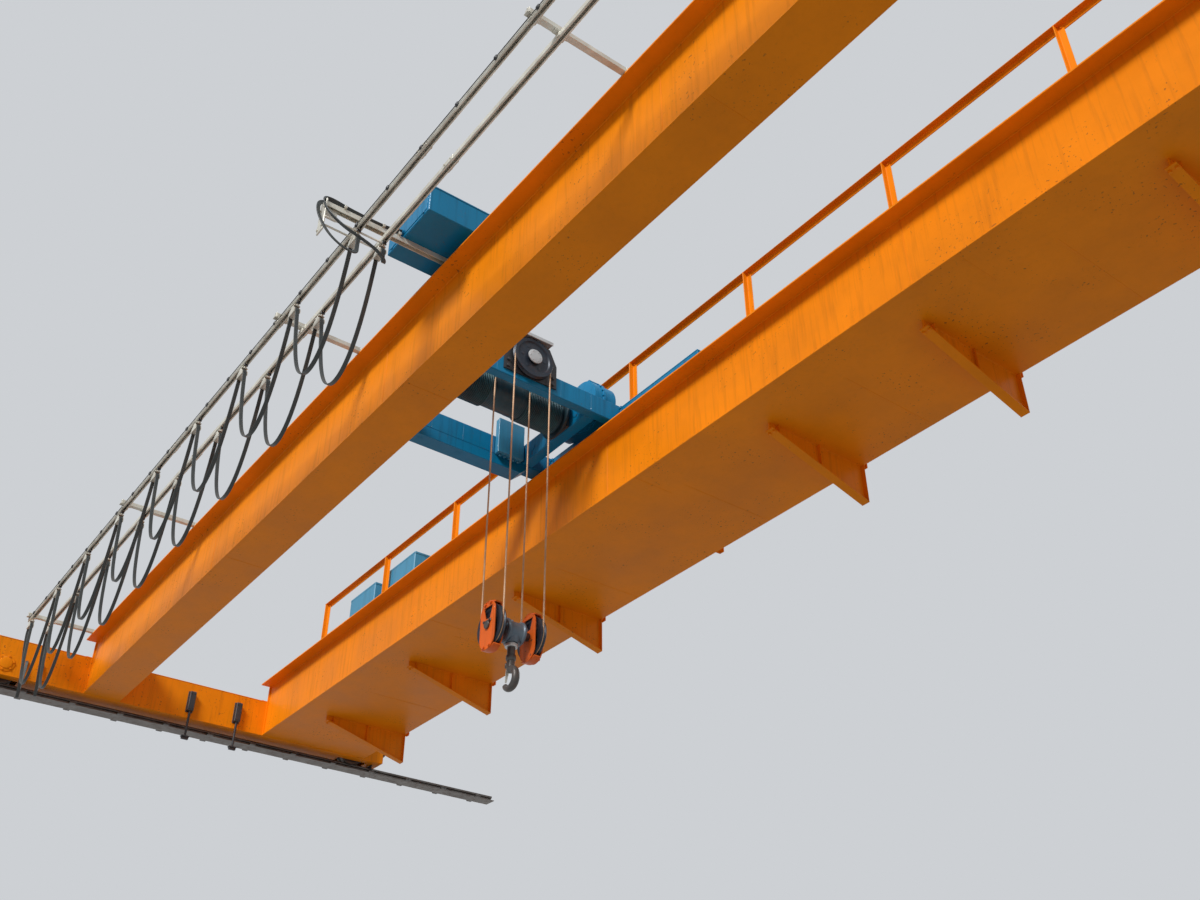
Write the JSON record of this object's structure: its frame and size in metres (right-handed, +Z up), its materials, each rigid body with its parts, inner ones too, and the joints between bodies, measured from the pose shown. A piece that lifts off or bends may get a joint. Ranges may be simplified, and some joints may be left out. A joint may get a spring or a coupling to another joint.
{
  "type": "overhead bridge crane",
  "caption": "Double girder overhead travelling crane with a rope hoist trolley, hook block, side walkway with handrails and a cable festoon.",
  "frame": {"origin": "centre of the underside of the far runway rail, midway between the girders", "axes": "+X along the girders to the near runway rail, +Y across the bridge to the walkway side, +Z up"},
  "size_m": [13.896, 8, 3.493],
  "materials": {
    "orange_paint": "satin",
    "blue_paint": "satin",
    "cabinet_paint": "satin",
    "guard_paint": "satin",
    "black_paint": "satin",
    "zinc": "satin",
    "rail_steel": "worn",
    "forged_steel": "satin",
    "block_steel": "satin",
    "rubber": "matte",
    "cable_sheath": "matte"
  },
  "bodies": {
    "runway": {"far_runway_rail": "rail_steel", "near_runway_rail": "rail_steel"},
    "bridge": {"left_girder_flanges": "orange_paint", "left_girder_webs": "orange_paint", "right_girder_flanges": "orange_paint", "right_girder_webs": "orange_paint", "girder_end_plates": "orange_paint", "trolley_rails": "rail_steel", "trolley_end_stops": "orange_paint", "far_end_truck": "orange_paint", "near_end_truck": "orange_paint", "bridge_wheels": "rail_steel", "truck_buffers": "rubber", "travel_drives": "blue_paint", "rail_sweeps": "black_paint", "current_collectors": "black_paint", "walkway_deck": "orange_paint", "walkway_brackets": "orange_paint", "walkway_toe_board": "orange_paint", "walkway_handrail": "orange_paint", "girder_handrail": "orange_paint", "control_cabinets": "cabinet_paint", "festoon_arms": "zinc", "festoon_tracks": "zinc", "festoon_end_clamp": "zinc", "power_cable": "cable_sheath", "control_cable": "cable_sheath"},
    "trolley": {"trolley_side_frames": "blue_paint", "trolley_cross_beams": "blue_paint", "trolley_long_beams": "blue_paint", "trolley_wheels": "rail_steel", "trolley_travel_motors": "blue_paint", "drum_bearings": "black_paint", "hoist_gearbox": "blue_paint", "hoist_motor": "blue_paint", "switchgear_box": "blue_paint", "terminal_box": "blue_paint", "upper_sheave_frame": "black_paint", "upper_sheave": "rail_steel", "tow_arm": "zinc", "hoist_ropes": "zinc"},
    "drum": {"rope_drum": "rail_steel"},
    "hook_block": {"block_housing": "block_steel", "sheave_guards": "guard_paint"},
    "block_sheave_pair": {"block_sheaves": "rail_steel"},
    "hook_body": {"hook": "forged_steel", "hook_latch": "zinc"},
    "carrier_1": {"cable_carrier_1": "zinc"},
    "carrier_2": {"cable_carrier_2": "zinc"},
    "carrier_3": {"cable_carrier_3": "zinc"},
    "carrier_4": {"cable_carrier_4": "zinc"},
    "carrier_5": {"cable_carrier_5": "zinc"},
    "carrier_6": {"cable_carrier_6": "zinc"},
    "carrier_7": {"cable_carrier_7": "zinc"},
    "tow_carrier": {"cable_tow_carrier": "zinc"}
  },
  "joints": [
    {"name": "bridge_travel", "type": "slide", "parent": "runway", "child": "bridge", "axis": [0, 1, 0], "range_m": [-1.2, 1.2]},
    {"name": "trolley_travel", "type": "slide", "parent": "bridge", "child": "trolley", "axis": [1, 0, 0], "range_m": [-5.1, 5.45], "deforming": ["power_cable", "control_cable"]},
    {"name": "hoist", "type": "slide", "parent": "trolley", "child": "hook_block", "axis": [0, 0, 1], "range_m": [-3, 1.6], "deforming": ["hoist_ropes"]},
    {"name": "drum_turn", "type": "hinge", "parent": "trolley", "child": "drum", "pos_m": [6.265, 0, 0.919], "axis": [0, -1, 0], "range_deg": [-2218, 1183]},
    {"name": "block_sheave_turn", "type": "hinge", "parent": "hook_block", "child": "block_sheave_pair", "pos_m": [6.56, 0, -1.29], "axis": [0, 1, 0], "range_deg": [-1228, 655]},
    {"name": "hook_swivel", "type": "hinge", "parent": "hook_block", "child": "hook_body", "pos_m": [6.56, 0, -1.4], "axis": [0, 0, 1], "continuous": true},
    {"name": "carrier_1_travel", "type": "slide", "parent": "bridge", "child": "carrier_1", "axis": [1, 0, 0], "range_m": [-0.6375, 0.68125]},
    {"name": "carrier_2_travel", "type": "slide", "parent": "carrier_1", "child": "carrier_2", "axis": [1, 0, 0], "range_m": [-0.6375, 0.68125]},
    {"name": "carrier_3_travel", "type": "slide", "parent": "carrier_2", "child": "carrier_3", "axis": [1, 0, 0], "range_m": [-0.6375, 0.68125]},
    {"name": "carrier_4_travel", "type": "slide", "parent": "carrier_3", "child": "carrier_4", "axis": [1, 0, 0], "range_m": [-0.6375, 0.68125]},
    {"name": "carrier_5_travel", "type": "slide", "parent": "carrier_4", "child": "carrier_5", "axis": [1, 0, 0], "range_m": [-0.6375, 0.68125]},
    {"name": "carrier_6_travel", "type": "slide", "parent": "carrier_5", "child": "carrier_6", "axis": [1, 0, 0], "range_m": [-0.6375, 0.68125]},
    {"name": "carrier_7_travel", "type": "slide", "parent": "carrier_6", "child": "carrier_7", "axis": [1, 0, 0], "range_m": [-0.6375, 0.68125]},
    {"name": "tow_carrier_travel", "type": "slide", "parent": "carrier_7", "child": "tow_carrier", "axis": [1, 0, 0], "range_m": [-0.6375, 0.68125]}
  ],
  "couplings": [
    {"joint": "drum_turn", "follows": "hoist", "rad_per_m": 12.903},
    {"joint": "block_sheave_turn", "follows": "hoist", "rad_per_m": 7.1429},
    {"joint": "carrier_1_travel", "follows": "trolley_travel", "ratio": 0.125},
    {"joint": "carrier_2_travel", "follows": "trolley_travel", "ratio": 0.125},
    {"joint": "carrier_3_travel", "follows": "trolley_travel", "ratio": 0.125},
    {"joint": "carrier_4_travel", "follows": "trolley_travel", "ratio": 0.125},
    {"joint": "carrier_5_travel", "follows": "trolley_travel", "ratio": 0.125},
    {"joint": "carrier_6_travel", "follows": "trolley_travel", "ratio": 0.125},
    {"joint": "carrier_7_travel", "follows": "trolley_travel", "ratio": 0.125},
    {"joint": "tow_carrier_travel", "follows": "trolley_travel", "ratio": 0.125}
  ]
}
